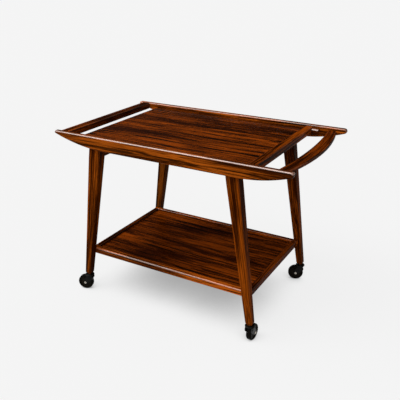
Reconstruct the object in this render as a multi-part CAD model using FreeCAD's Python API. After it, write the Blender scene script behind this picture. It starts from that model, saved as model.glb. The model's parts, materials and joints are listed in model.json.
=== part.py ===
import FreeCAD, Part
import math
import os

# Bar cart: a tray on four splayed legs, with a lower shelf and swivel casters.
# X runs along the tray, Y across it and Z up. The origin is on the floor under the middle of the rails.
# All lengths are in millimetres.

Vec = FreeCAD.Vector

# Overall sizes
tray_height = 618.0  # floor to the top of the side rails
rail_length = 869.0
clear_width = 486.0  # between the inner faces of the side rails
left_overhang = 78.5  # rail tips to the middles of the left legs' ends
right_overhang = 123.5  # rail tips to the middles of the right legs' ends

# Side rails: straight along the top, swept up underneath towards two round noses
rail_thickness = 18.0
rail_depth = 47.0
rail_edge_round = 5.0
left_nose_radius = 5.5
right_nose_radius = 9.0
left_sweep_radius = 640.0
right_sweep_radius = 520.0

# Tray panel, with a tongue on three sides for grooves in the rails and the cross bar
panel_thickness = 10.0
panel_drop = 13.0  # rail top to panel top
panel_end_round = 3.0
panel_tongue = 5.0
groove_depth = 6.0

# Lifting handle: a straight bar across the left ends of the rails
lift_setback = 16.0  # rail tip to the bar's outer face
lift_width = 34.5
lift_depth = 24.5
lift_drop = 0.5  # rail top to the bar's top
lift_round = 6.0
lift_under_round = 17.0  # of the outer lower edge, which follows the rails' sweep
hand_slot = 41.5  # between the bar and the panel's end
lift_tenon_width = 14.0
lift_tenon_height = 5.0

# Push handle: a flat crescent bowed outwards across the right ends of the rails
push_setback = 50.0  # rail tip to the middle of the bar's end
push_end_width = 30.0
push_middle_width = 44.0
push_depth = 11.0
push_drop = 11.0  # rail top to the bar's top
push_bow = 25.0  # of the bar's middle line
push_round = 4.0
push_gap = 55.5  # between the bar's ends and the cross bar
push_tenon_width = 15.0
push_tenon_height = 5.0

# Cross bar at the right end of the panel, and the blocks that back it at both rails
bar_width = 29.0
bar_depth = 23.0
bar_drop = 5.0  # rail top to the bar's top
bar_round = 4.0
bar_under_round = 2.0
bar_tenon_width = 12.0
bar_tenon_margin = 4.0  # above and below the bar's tenons
block_length = 24.5
block_reach = 16.0
block_height = 22.0
block_drop = 10.0  # rail top to the blocks' tops
block_round = 1.5
block_top_round = 7.0

# Joints
tenon_length = 8.0
joint_end_gap = 0.5  # spare depth at the bottom of mortises and blind holes
fit_clearance = 0.05  # radial, for every round fit
dowel_diameter = 6.0
dowel_depth = 10.0  # in each of the two pieces
dowel_drop = 8.0  # leg top to the rail dowels
dowel_pitch = 18.0

# Legs: parallel at the joint and tapering below it, with upright outer faces and a bevelled end
splay_degrees = 8.5
leg_top_width = 42.0
leg_top_thickness = 38.0
leg_foot_width = 24.5
leg_foot_thickness = 24.5
leg_end_width = 15.0
leg_end_height = 8.0
leg_corner_round = 4.0
leg_end_round = 2.5

# Aprons under the tray, tenoned into each pair of legs
apron_depth = 60.0
apron_thickness = 16.0
apron_round = 2.0
apron_tenon_length = 15.0
apron_tenon_thickness = 8.0
apron_tenon_height = 36.0
taper_gap = 2.0  # the legs' taper starts this far below the aprons

# Lower shelf: a panel with a tongue all round, in four lips
shelf_height = 173.0  # floor to the top of the lips
lip_depth = 21.5
lip_width = 20.0
side_lip_width = 18.0
lip_nose_round = 6.0
lip_edge_round = 2.0
shelf_recess = 7.0  # lip top to panel top
shelf_panel_thickness = 6.0
shelf_tongue = 3.5
shelf_groove = 6.0
shelf_housing = 1.5  # how far the lips are let into the legs
shelf_end_reach = 3.0  # how far the shelf passes the legs' centre lines
shelf_dowel_inset = 4.0  # legs' centre lines to the shelf dowels
lip_tenon_length = 5.0
lip_tenon_width = 8.0

# Casters
wheel_diameter = 57.0
tyre_width = 18.0
tyre_thickness = 6.0
tyre_round = 4.5
hub_rim_width = 15.0
hub_rim_thickness = 2.5
hub_web_thickness = 8.0
hub_boss_diameter = 15.0
hub_side_gap = 0.3  # hub boss to cheek, each side
axle_diameter = 6.0
axle_head_diameter = 9.5
axle_head_height = 1.8
axle_head_round = 1.3
caster_trail = 16.0  # swivel axis to axle
cheek_thickness = 2.5
cheek_gap = 1.0  # tyre to cheek, each side
cheek_axle_radius = 8.5
cheek_root_radius = 13.0
cheek_root_drop = 2.0  # crown top to the top of the cheeks
crown_diameter = 34.0
crown_thickness = 4.7
crown_round = 3.2
hood_clearance = 1.5  # wheel top to the crown
running_gap = 0.3  # crown to socket
stem_diameter = 8.0
stem_reach = 24.0  # up into the socket
stem_tip_bevel = 1.0
stem_head_diameter = 12.0
stem_head_height = 2.5
socket_wall = 1.0
socket_length = 27.0
flange_diameter = 15.0
flange_thickness = 1.5

# Which way each wheel trails, in degrees from +X
front_left_trail = 200.0
front_right_trail = 86.0
rear_right_trail = 202.0
rear_left_trail = 266.0

# One overrun serves all cuts that pass through a face
overrun = 2.0
# A rounded edge takes at most this share of the nose or half wall that carries it
round_limit_share = 0.9

# Places that follow from the sizes above
rail_top = tray_height
rail_bottom = rail_top - rail_depth
inner_face = clear_width / 2
outer_face = inner_face + rail_thickness
left_tip = -rail_length / 2
right_tip = rail_length / 2
left_foot = left_tip + left_overhang
right_foot = right_tip - right_overhang
frame_middle = (left_foot + right_foot) / 2

panel_top = rail_top - panel_drop
panel_under = panel_top - panel_thickness
lift_top = rail_top - lift_drop
lift_outer = left_tip + lift_setback
lift_inner = lift_outer + lift_width
panel_left = lift_inner + hand_slot
push_top = rail_top - push_drop
push_end_middle = right_tip - push_setback
bar_outer = push_end_middle - push_end_width / 2 - push_gap
bar_inner = bar_outer - bar_width
bar_top = rail_top - bar_drop
bar_under = bar_top - bar_depth
block_top = rail_top - block_drop

axle_height = wheel_diameter / 2
axle_centre = Vec(caster_trail, 0, axle_height)
hub_radius = wheel_diameter / 2 - tyre_thickness
cheek_inner = tyre_width / 2 + cheek_gap
cheek_outer = cheek_inner + cheek_thickness
crown_under = wheel_diameter + hood_clearance
crown_top = crown_under + crown_thickness
foot_height = crown_top + running_gap + flange_thickness
socket_bore = stem_diameter / 2 + fit_clearance
socket_radius = socket_bore + socket_wall

leg_top = panel_under
leg_foot_middle = inner_face - leg_foot_thickness / 2
leg_taper_top = leg_top - apron_depth - taper_gap
leg_taper_bottom = foot_height + leg_end_height
apron_bottom = leg_top - apron_depth
apron_end = inner_face - leg_top_thickness

lip_bottom = shelf_height - lip_depth
lip_middle = shelf_height - lip_depth / 2
shelf_panel_top = shelf_height - shelf_recess
shelf_panel_under = shelf_panel_top - shelf_panel_thickness

sides = {"left": -1, "right": 1}
ends = {"front": -1, "rear": 1}
trails = {
    ("front", "left"): front_left_trail,
    ("front", "right"): front_right_trail,
    ("rear", "left"): rear_left_trail,
    ("rear", "right"): rear_right_trail,
}
along_x = Vec(1, 0, 0)
along_y = Vec(0, 1, 0)
upwards = Vec(0, 0, 1)
full_turn = 360


def leg_reach(height):
    """How far a leg's centre line stands from the legs' middle at a height."""
    return (right_foot - left_foot) / 2 - (height - foot_height) * math.tan(math.radians(splay_degrees))


def leg_thickness(height):
    """A leg's thickness at a height on its taper."""
    risen_share = (height - leg_taper_bottom) / (leg_taper_top - leg_taper_bottom)
    return leg_foot_thickness + (leg_top_thickness - leg_foot_thickness) * risen_share


def leg_place(side, height):
    return frame_middle + sides[side] * leg_reach(height)


# The shelf fits between the legs' inner faces and reaches just past their centre lines
shelf_half_width = inner_face - leg_thickness(lip_bottom) + shelf_housing
shelf_half_length = leg_reach(lip_middle) + shelf_end_reach


def block(x_span, y_span, z_span):
    """A box between pairs of places, given in any order."""
    low = Vec(min(x_span), min(y_span), min(z_span))
    high = Vec(max(x_span), max(y_span), max(z_span))
    size = high - low
    return Part.makeBox(size.x, size.y, size.z, low)


def limited(radius, wall):
    return min(radius, wall * round_limit_share)


def line(start, finish):
    return Part.LineSegment(start, finish).toShape()


def arc(start, through, finish):
    return Part.Arc(start, through, finish).toShape()


def on_circle(centre, radius, angle):
    """The point of an upright circle, in its XZ plane, at an angle from +X."""
    return centre + Vec(radius * math.cos(angle), 0, radius * math.sin(angle))


def rounded_wire(corners):
    """A closed outline through corners, each a point and the radius of its round, with zero for sharp."""
    joints = []
    for index, (point, radius) in enumerate(corners):
        before = (corners[index - 1][0] - point).normalize()
        after = (corners[(index + 1) % len(corners)][0] - point).normalize()
        half_angle = before.getAngle(after) / 2
        setback = radius / math.tan(half_angle)
        bisector = (before + after).normalize()
        through = point + bisector * (radius / math.sin(half_angle) - radius)
        joints.append((point + before * setback, through, point + after * setback, radius))
    edges = []
    for index, (start, through, finish, radius) in enumerate(joints):
        if radius > 0:
            edges.append(arc(start, through, finish))
        edges.append(line(finish, joints[(index + 1) % len(joints)][0]))
    return Part.Wire(edges)


def bar_along_y(x_span, z_span, y_span, rounds):
    """A bar along Y, with its section's rounds from the lower left corner to the upper left one."""
    (left, right), (low, high) = x_span, z_span
    start, finish = min(y_span), max(y_span)
    places = [(left, low), (right, low), (right, high), (left, high)]
    corners = [(Vec(x, start, z), radius) for (x, z), radius in zip(places, rounds)]
    return Part.Face(rounded_wire(corners)).extrude(along_y * (finish - start))


def bar_along_x(y_span, z_span, x_span, rounds):
    """A bar along X, with its section's rounds from the lower near corner to the upper near one."""
    (near, far), (low, high) = y_span, z_span
    start, finish = min(x_span), max(x_span)
    places = [(near, low), (far, low), (far, high), (near, high)]
    corners = [(Vec(start, y, z), radius) for (y, z), radius in zip(places, rounds)]
    return Part.Face(rounded_wire(corners)).extrude(along_x * (finish - start))


def rod_along_y(radius, x, z, y_span):
    low, high = min(y_span), max(y_span)
    return Part.makeCylinder(radius, high - low, Vec(x, low, z), along_y)


def upright_rod(radius, z_span, x=0, y=0):
    low, high = z_span
    return Part.makeCylinder(radius, high - low, Vec(x, y, low))


def spun(corners, centre, axis):
    """A full turn of a closed outline about an axis."""
    return Part.Face(rounded_wire(corners)).revolve(centre, axis, full_turn)


def rail_end(side):
    """One end of a rail's outline: its underside's end, its sweep, its nose and its top's end."""
    sign = sides[side]
    nose_radius = {"left": left_nose_radius, "right": right_nose_radius}[side]
    sweep_radius = {"left": left_sweep_radius, "right": right_sweep_radius}[side]
    tip = Vec(sign * rail_length / 2, 0, rail_top - nose_radius)
    nose = tip - along_x * (sign * nose_radius)
    # The sweep is tangent to the straight underside and to the nose
    run = math.sqrt((rail_depth - 2 * nose_radius) * (2 * sweep_radius - rail_depth))
    start = Vec(nose.x - sign * run, 0, rail_bottom)
    sweep = start + upwards * sweep_radius
    angle = math.atan2(nose.z - sweep.z, nose.x - sweep.x)
    halfway = on_circle(sweep, sweep_radius, (angle - math.pi / 2) / 2)
    meeting = on_circle(sweep, sweep_radius, angle)
    top = nose + upwards * nose_radius
    return start, arc(start, halfway, meeting), arc(meeting, tip, top), top


def rail(end):
    """A side rail with its panel groove, mortises and dowel holes."""
    left_start, left_sweep, left_nose, left_top = rail_end("left")
    right_start, right_sweep, right_nose, right_top = rail_end("right")
    underside = line(left_start, right_start)
    top = line(right_top, left_top)
    outline = Part.Wire([underside, right_sweep, right_nose, top, left_nose, left_sweep])
    board = Part.Face(outline).extrude(along_y * rail_thickness)
    board.translate(along_y * min(ends[end] * inner_face, ends[end] * outer_face))
    edge_round = limited(rail_edge_round, min(left_nose_radius, right_nose_radius, rail_thickness / 2))
    face_edges = [edge for edge in board.Edges if edge.BoundBox.YLength < rail_thickness / 2]
    board = board.makeFillet(edge_round, face_edges)
    mortises = [make(end, joint_end_gap) for make in (lift_tenon, push_tenon, bar_tenon)]
    holes = [rail_dowel(end, side, place, joint_end_gap) for side in sides for place in sides.values()]
    return board.cut([tray_panel()] + mortises + holes)


def rail_tenon(end, middle, width, z_span, spare):
    """A stub tenon into a rail, or with spare depth its mortise."""
    x_span = (middle - width / 2, middle + width / 2)
    root = inner_face - overrun
    tip = inner_face + tenon_length + spare
    return block(x_span, (ends[end] * root, ends[end] * tip), z_span)


def lift_tenon(end, spare=0):
    middle_height = lift_top - lift_depth / 2
    z_span = (middle_height - lift_tenon_height / 2, middle_height + lift_tenon_height / 2)
    return rail_tenon(end, (lift_outer + lift_inner) / 2, lift_tenon_width, z_span, spare)


def push_tenon(end, spare=0):
    middle_height = push_top - push_depth / 2
    z_span = (middle_height - push_tenon_height / 2, middle_height + push_tenon_height / 2)
    return rail_tenon(end, push_end_middle, push_tenon_width, z_span, spare)


def bar_tenon(end, spare=0):
    z_span = (bar_under + bar_tenon_margin, bar_top - bar_tenon_margin)
    # The panel's groove leaves the outer side of the bar for its tenons
    middle = bar_outer - (bar_width - groove_depth) / 2
    return rail_tenon(end, middle, bar_tenon_width, z_span, spare)


def dowel(end, x, height, seam, spare):
    """A dowel across a seam between two pieces, or with spare depth its hole."""
    radius = dowel_diameter / 2
    if spare:
        radius += fit_clearance
    reach = dowel_depth + spare
    return rod_along_y(radius, x, height, (ends[end] * (seam - reach), ends[end] * (seam + reach)))


def rail_dowel(end, side, place, spare=0):
    height = leg_top - dowel_drop
    return dowel(end, leg_place(side, height) + place * dowel_pitch / 2, height, inner_face, spare)


def shelf_dowel(end, side, spare=0):
    x = frame_middle + sides[side] * (leg_reach(lip_middle) - shelf_dowel_inset)
    return dowel(end, x, lip_middle, shelf_half_width, spare)


def rail_dowels():
    return Part.makeCompound(
        [rail_dowel(end, side, place) for end in ends for side in sides for place in sides.values()]
    )


def shelf_dowels():
    return Part.makeCompound([shelf_dowel(end, side) for end in ends for side in sides])


def tray_panel():
    """The tray's board, round-edged at its open left end and tongued along its other sides."""
    end_round = limited(panel_end_round, panel_thickness / 2)
    rounds = (end_round, 0, 0, end_round)
    board = bar_along_y((panel_left, bar_inner), (panel_under, panel_top), (-inner_face, inner_face), rounds)
    middle_height = (panel_under + panel_top) / 2
    tongue = block(
        (panel_left + end_round, bar_inner + groove_depth),
        (-inner_face - groove_depth, inner_face + groove_depth),
        (middle_height - panel_tongue / 2, middle_height + panel_tongue / 2),
    )
    return board.fuse(tongue)


def lift_handle():
    """The straight bar across the left ends of the rails."""
    thinnest = min(lift_width, lift_depth)
    edge_round = limited(lift_round, thinnest / 2)
    under_round = limited(lift_under_round, thinnest - edge_round)
    rounds = (under_round, edge_round, edge_round, edge_round)
    z_span = (lift_top - lift_depth, lift_top)
    bar = bar_along_y((lift_outer, lift_inner), z_span, (-inner_face, inner_face), rounds)
    return bar.fuse([lift_tenon(end) for end in ends])


def bowed_rod(end_place, bow, z_span):
    """An upright round that meets both rails at one place and bows out between them."""
    radius = (inner_face**2 + bow**2) / (2 * bow)
    return upright_rod(radius, z_span, end_place + bow - radius)


def push_handle():
    """The flat bar across the right ends of the rails, bowed outwards and widest at its middle."""
    z_span = (push_top - push_depth, push_top)
    swell = (push_middle_width - push_end_width) / 2
    outer = bowed_rod(push_end_middle + push_end_width / 2, push_bow + swell, z_span)
    inner = bowed_rod(push_end_middle - push_end_width / 2, push_bow - swell, z_span)
    x_span = (push_end_middle - push_end_width, push_end_middle + push_bow + push_middle_width)
    bar = outer.cut(inner).common(block(x_span, (-inner_face, inner_face), z_span))
    curved = [edge for edge in bar.Edges if edge.Curve.TypeId == "Part::GeomCircle"]
    bar = bar.makeFillet(limited(push_round, min(push_end_width, push_depth) / 2), curved)
    return bar.fuse([push_tenon(end) for end in ends])


def cross_bar():
    """The raised bar at the right end of the panel, grooved for it."""
    top_round = limited(bar_round, bar_width / 2)
    under_round = limited(bar_under_round, bar_width / 2)
    rounds = (under_round, under_round, top_round, top_round)
    bar = bar_along_y((bar_inner, bar_outer), (bar_under, bar_top), (-inner_face, inner_face), rounds)
    return bar.fuse([bar_tenon(end) for end in ends]).cut(tray_panel())


def corner_blocks():
    """The two blocks that back the cross bar at the rails."""
    thinnest = min(block_reach, block_height)
    rounds = (0, limited(block_round, thinnest / 2), limited(block_top_round, thinnest / 2), 0)
    x_span = (bar_outer, bar_outer + block_length)
    z_span = (block_top - block_height, block_top)
    blocks = []
    for sign in ends.values():
        y_span = (sign * inner_face, sign * (inner_face - block_reach))
        blocks.append(bar_along_x(y_span, z_span, x_span, rounds))
    return Part.makeCompound(blocks)


def apron_middle(side):
    """The middle of an apron, whose inner face clears the round of the legs' corners."""
    inner = leg_reach(apron_bottom) - leg_top_width / 2 + leg_corner_round
    return frame_middle + sides[side] * (inner + apron_thickness / 2)


def apron_tenon(end, side, spare=0):
    """A tenon between an apron and a leg, or with spare depth its mortise."""
    middle = apron_middle(side)
    middle_height = (apron_bottom + leg_top) / 2
    return block(
        (middle - apron_tenon_thickness / 2, middle + apron_tenon_thickness / 2),
        (ends[end] * (apron_end - overrun), ends[end] * (apron_end + apron_tenon_length + spare)),
        (middle_height - apron_tenon_height / 2, middle_height + apron_tenon_height / 2),
    )


def apron(side):
    """The cross piece under the tray between a pair of legs."""
    middle = apron_middle(side)
    edge_round = limited(apron_round, apron_thickness / 2)
    x_span = (middle - apron_thickness / 2, middle + apron_thickness / 2)
    y_span = (-apron_end, apron_end)
    board = bar_along_y(x_span, (apron_bottom, leg_top), y_span, (edge_round, edge_round, 0, 0))
    return board.fuse([apron_tenon(end, side) for end in ends])


def leg_section(end, side, height, width, y_span, corner_round):
    """A level, round-cornered rectangle across a leg."""
    middle = leg_place(side, height)
    left, right = middle - width / 2, middle + width / 2
    near, far = sorted(ends[end] * y for y in y_span)
    places = [(left, near), (right, near), (right, far), (left, far)]
    return rounded_wire([(Vec(x, y, height), corner_round) for x, y in places])


def leg(end, side):
    """A splayed leg with its mortise, dowel holes, shelf housing and caster bore."""
    end_span = (leg_foot_middle - leg_end_width / 2, leg_foot_middle + leg_end_width / 2)
    foot_span = (inner_face - leg_foot_thickness, inner_face)
    top_span = (inner_face - leg_top_thickness, inner_face)
    sections = [
        leg_section(end, side, foot_height, leg_end_width, end_span, leg_end_round),
        leg_section(end, side, leg_taper_bottom, leg_foot_width, foot_span, leg_corner_round),
        leg_section(end, side, leg_taper_top, leg_top_width, top_span, leg_corner_round),
        leg_section(end, side, leg_top, leg_top_width, top_span, leg_corner_round),
    ]
    solid, ruled = True, True
    post = Part.makeLoft(sections, solid, ruled)
    housing = block(
        (frame_middle - shelf_half_length, frame_middle + shelf_half_length),
        (-shelf_half_width, shelf_half_width),
        (lip_bottom, shelf_height),
    )
    bore_span = (foot_height - overrun, foot_height + socket_length + joint_end_gap)
    bore_place = (leg_place(side, foot_height), ends[end] * leg_foot_middle)
    bore = upright_rod(socket_radius + fit_clearance, bore_span, *bore_place)
    holes = [rail_dowel(end, side, place, joint_end_gap) for place in sides.values()]
    holes.append(shelf_dowel(end, side, joint_end_gap))
    return post.cut([housing, bore, apron_tenon(end, side, joint_end_gap)] + holes)


def shelf_board(margin, thickness):
    """A level board within the lips, or past their inner faces by a margin, about the panel's mid height."""
    half_length = shelf_half_length - side_lip_width + margin
    half_width = shelf_half_width - lip_width + margin
    middle_height = (shelf_panel_under + shelf_panel_top) / 2
    return block(
        (frame_middle - half_length, frame_middle + half_length),
        (-half_width, half_width),
        (middle_height - thickness / 2, middle_height + thickness / 2),
    )


def shelf_panel():
    return shelf_board(0, shelf_panel_thickness).fuse(shelf_board(shelf_groove, shelf_tongue))


def lip_tenon(end, side, spare=0):
    """A stub tenon between a side lip and a long lip, or with spare depth its mortise."""
    middle = frame_middle + sides[side] * (shelf_half_length - (side_lip_width - shelf_groove) / 2)
    root = shelf_half_width - lip_width
    return block(
        (middle - lip_tenon_width / 2, middle + lip_tenon_width / 2),
        (ends[end] * (root - overrun), ends[end] * (root + lip_tenon_length + spare)),
        (shelf_panel_under, shelf_panel_top),
    )


def long_lip(end):
    """The front or rear lip of the shelf, with a rounded nosing."""
    nosing = limited(lip_nose_round, min(lip_width, lip_depth) / 2)
    edge_round = limited(lip_edge_round, min(lip_width, shelf_recess) / 2)
    x_span = (frame_middle - shelf_half_length, frame_middle + shelf_half_length)
    y_span = (ends[end] * shelf_half_width, ends[end] * (shelf_half_width - lip_width))
    rounds = (edge_round, edge_round, edge_round, nosing)
    bar = bar_along_x(y_span, (lip_bottom, shelf_height), x_span, rounds)
    mortises = [lip_tenon(end, side, joint_end_gap) for side in sides]
    holes = [shelf_dowel(end, side, joint_end_gap) for side in sides]
    return bar.cut([shelf_panel()] + mortises + holes)


def side_lip(side):
    """The left or right lip of the shelf, between the long lips."""
    edge_round = limited(lip_edge_round, min(side_lip_width, shelf_recess) / 2)
    places = [frame_middle + sides[side] * (shelf_half_length - inset) for inset in (0, side_lip_width)]
    half = shelf_half_width - lip_width
    bar = bar_along_y(places, (lip_bottom, shelf_height), (-half, half), [edge_round] * 4)
    return bar.fuse([lip_tenon(end, side) for end in ends]).cut(shelf_panel())


# Each caster is made about its swivel axis with its axle towards +X, then turned and set under its leg


def around_axle(places):
    """Corners of an outline given as (radius, place along the axle, round)."""
    return [(Vec(caster_trail, y, axle_height + radius), edge_round) for radius, y, edge_round in places]


def around_stem(places):
    """Corners of an outline given as (radius, height, round)."""
    return [(Vec(radius, 0, z), edge_round) for radius, z, edge_round in places]


def caster_tyre():
    half = tyre_width / 2
    inner = hub_radius + fit_clearance
    outer = wheel_diameter / 2
    shoulder = limited(tyre_round, min(half, tyre_thickness))
    places = [(inner, -half, 0), (outer, -half, shoulder), (outer, half, shoulder), (inner, half, 0)]
    return spun(around_axle(places), axle_centre, along_y)


def caster_hub():
    """The wheel's centre: a rim, a thinner web and a boss on the axle."""
    bore = axle_diameter / 2 + fit_clearance
    boss = hub_boss_diameter / 2
    rim_inside = hub_radius - hub_rim_thickness
    boss_end = cheek_inner - hub_side_gap
    web_face = hub_web_thickness / 2
    rim_face = hub_rim_width / 2
    one_side = [
        (bore, boss_end, 0),
        (boss, boss_end, 0),
        (boss, web_face, 0),
        (rim_inside, web_face, 0),
        (rim_inside, rim_face, 0),
        (hub_radius, rim_face, 0),
    ]
    other_side = [(radius, -y, edge_round) for radius, y, edge_round in reversed(one_side)]
    return spun(around_axle(one_side + other_side), axle_centre, along_y)


def caster_axle():
    """The rivet through the fork and the wheel, with a round-edged head on each cheek."""
    shaft = axle_diameter / 2
    head = axle_head_diameter / 2
    head_end = cheek_outer + axle_head_height
    head_round = limited(axle_head_round, min(axle_head_height, head))
    one_side = [
        (0, head_end, 0),
        (head, head_end, head_round),
        (head, cheek_outer, 0),
        (shaft, cheek_outer, 0),
    ]
    other_side = [(radius, -y, edge_round) for radius, y, edge_round in reversed(one_side)]
    return spun(around_axle(one_side + other_side), axle_centre, along_y)


def cheek(start):
    """One side plate of the fork: round at the root and at the axle, with straight flanks between."""
    root = Vec(0, start, crown_top - cheek_root_drop - cheek_root_radius)
    tip = Vec(caster_trail, start, axle_height)
    run = tip - root
    lean = math.atan2(run.z, run.x)
    spread = math.acos((cheek_root_radius - cheek_axle_radius) / run.Length)
    root_back = [on_circle(root, cheek_root_radius, lean + turn) for turn in (spread, math.pi, -spread)]
    tip_front = [on_circle(tip, cheek_axle_radius, lean + turn) for turn in (-spread, 0, spread)]
    outline = [
        arc(*root_back),
        line(root_back[-1], tip_front[0]),
        arc(*tip_front),
        line(tip_front[-1], root_back[0]),
    ]
    return Part.Face(Part.Wire(outline)).extrude(along_y * cheek_thickness)


def caster_fork():
    """A round crown with two cheeks that lean back to the axle."""
    radius = crown_diameter / 2
    top_round = limited(crown_round, crown_thickness)
    places = [
        (0, crown_under, 0),
        (radius, crown_under, 0),
        (radius, crown_top, top_round),
        (0, crown_top, 0),
    ]
    crown = spun(around_stem(places), Vec(0, 0, 0), upwards)
    body = crown.fuse([cheek(cheek_inner), cheek(-cheek_outer)])
    stem_hole = upright_rod(socket_bore, (crown_under - overrun, crown_top + overrun))
    axle_ends = (-cheek_outer - overrun, cheek_outer + overrun)
    axle_hole = rod_along_y(axle_diameter / 2 + fit_clearance, caster_trail, axle_height, axle_ends)
    return body.cut([stem_hole, axle_hole])


def caster_stem():
    """The pin that carries the fork: a head under the crown and a bevelled tip in the socket."""
    radius = stem_diameter / 2
    head = stem_head_diameter / 2
    tip = foot_height + stem_reach
    places = [
        (0, crown_under - stem_head_height, 0),
        (head, crown_under - stem_head_height, 0),
        (head, crown_under, 0),
        (radius, crown_under, 0),
        (radius, tip - stem_tip_bevel, 0),
        (radius - stem_tip_bevel, tip, 0),
        (0, tip, 0),
    ]
    return spun(around_stem(places), Vec(0, 0, 0), upwards)


def caster_socket():
    """The sleeve in the leg's end, with a flange under it."""
    flange = flange_diameter / 2
    flange_under = foot_height - flange_thickness
    top = foot_height + socket_length
    places = [
        (socket_bore, flange_under, 0),
        (flange, flange_under, 0),
        (flange, foot_height, 0),
        (socket_radius, foot_height, 0),
        (socket_radius, top, 0),
        (socket_bore, top, 0),
    ]
    return spun(around_stem(places), Vec(0, 0, 0), upwards)


caster_pieces = {
    "socket": caster_socket,
    "stem": caster_stem,
    "fork": caster_fork,
    "axle": caster_axle,
    "hub": caster_hub,
    "tyre": caster_tyre,
}


def set_under_leg(piece, end, side):
    piece.rotate(Vec(0, 0, 0), upwards, trails[end, side])
    piece.translate(Vec(leg_place(side, foot_height), ends[end] * leg_foot_middle, 0))
    return piece


def cart():
    """Every piece of the cart under its node's name."""
    pieces = {
        "tray_panel": tray_panel(),
        "tray_cross_bar": cross_bar(),
        "tray_corner_blocks": corner_blocks(),
        "lift_handle": lift_handle(),
        "push_handle": push_handle(),
        "rail_dowels": rail_dowels(),
        "shelf_panel": shelf_panel(),
        "shelf_dowels": shelf_dowels(),
    }
    for end in ends:
        pieces[end + "_rail"] = rail(end)
        pieces["shelf_" + end + "_lip"] = long_lip(end)
    for side in sides:
        pieces[side + "_apron"] = apron(side)
        pieces["shelf_" + side + "_lip"] = side_lip(side)
    for end, side in trails:
        corner = end + "_" + side
        pieces[corner + "_leg"] = leg(end, side)
        for piece, make in caster_pieces.items():
            pieces[corner + "_caster_" + piece] = set_under_leg(make(), end, side)
    return pieces


os.makedirs("parts", exist_ok=True)
for name, shape in sorted(cart().items()):
    shape.exportStep("parts/" + name + ".step")
    print(name, "solids", len(shape.Solids), "valid", shape.isValid(), "volume", round(shape.Volume))
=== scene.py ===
"""Looks of the bar cart: polished rosewood on black casters, in a plain pale studio.

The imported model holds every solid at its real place. This script gives each of them its finish, adds small
raised pieces to the casters, then sets the floor, the light and the camera. All lengths are in metres, with
+X along the tray and +Z up.
"""

import json
import logging
import math
from dataclasses import dataclass, replace
from enum import Enum
from typing import Any, Callable, Dict, Sequence, Tuple

import bmesh
import bpy
from mathutils import Matrix, Vector

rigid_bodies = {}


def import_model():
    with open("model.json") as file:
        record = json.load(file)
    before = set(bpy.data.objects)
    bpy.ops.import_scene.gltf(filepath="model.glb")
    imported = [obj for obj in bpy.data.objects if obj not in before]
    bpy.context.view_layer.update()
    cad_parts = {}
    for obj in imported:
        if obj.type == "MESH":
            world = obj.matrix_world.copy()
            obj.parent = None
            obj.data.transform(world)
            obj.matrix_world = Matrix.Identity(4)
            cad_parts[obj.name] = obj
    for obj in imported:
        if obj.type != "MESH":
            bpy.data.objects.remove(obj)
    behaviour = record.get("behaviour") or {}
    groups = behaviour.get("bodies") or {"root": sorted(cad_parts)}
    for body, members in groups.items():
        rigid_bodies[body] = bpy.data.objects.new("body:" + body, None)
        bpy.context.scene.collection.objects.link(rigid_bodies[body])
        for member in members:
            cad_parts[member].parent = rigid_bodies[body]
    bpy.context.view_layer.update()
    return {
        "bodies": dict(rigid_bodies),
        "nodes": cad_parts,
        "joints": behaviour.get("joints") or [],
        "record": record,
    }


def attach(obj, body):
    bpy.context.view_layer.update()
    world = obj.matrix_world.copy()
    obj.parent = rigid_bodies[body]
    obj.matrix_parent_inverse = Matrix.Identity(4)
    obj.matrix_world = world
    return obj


LOG = logging.getLogger("bar_cart")

Colour = Tuple[float, float, float]
Triple = Tuple[float, float, float]
Range = Tuple[float, float]
Profile = Tuple[Tuple[float, float], ...]
Frame = Dict[str, Any]


class Grain(Enum):
    """Which way a wooden piece's fibres run."""

    ALONG = "along the tray"
    ACROSS = "across the tray"
    LEFT_LEG = "up a leg that leans to the left"
    RIGHT_LEG = "up a leg that leans to the right"
    BOWED = "round the bowed handle"


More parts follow.
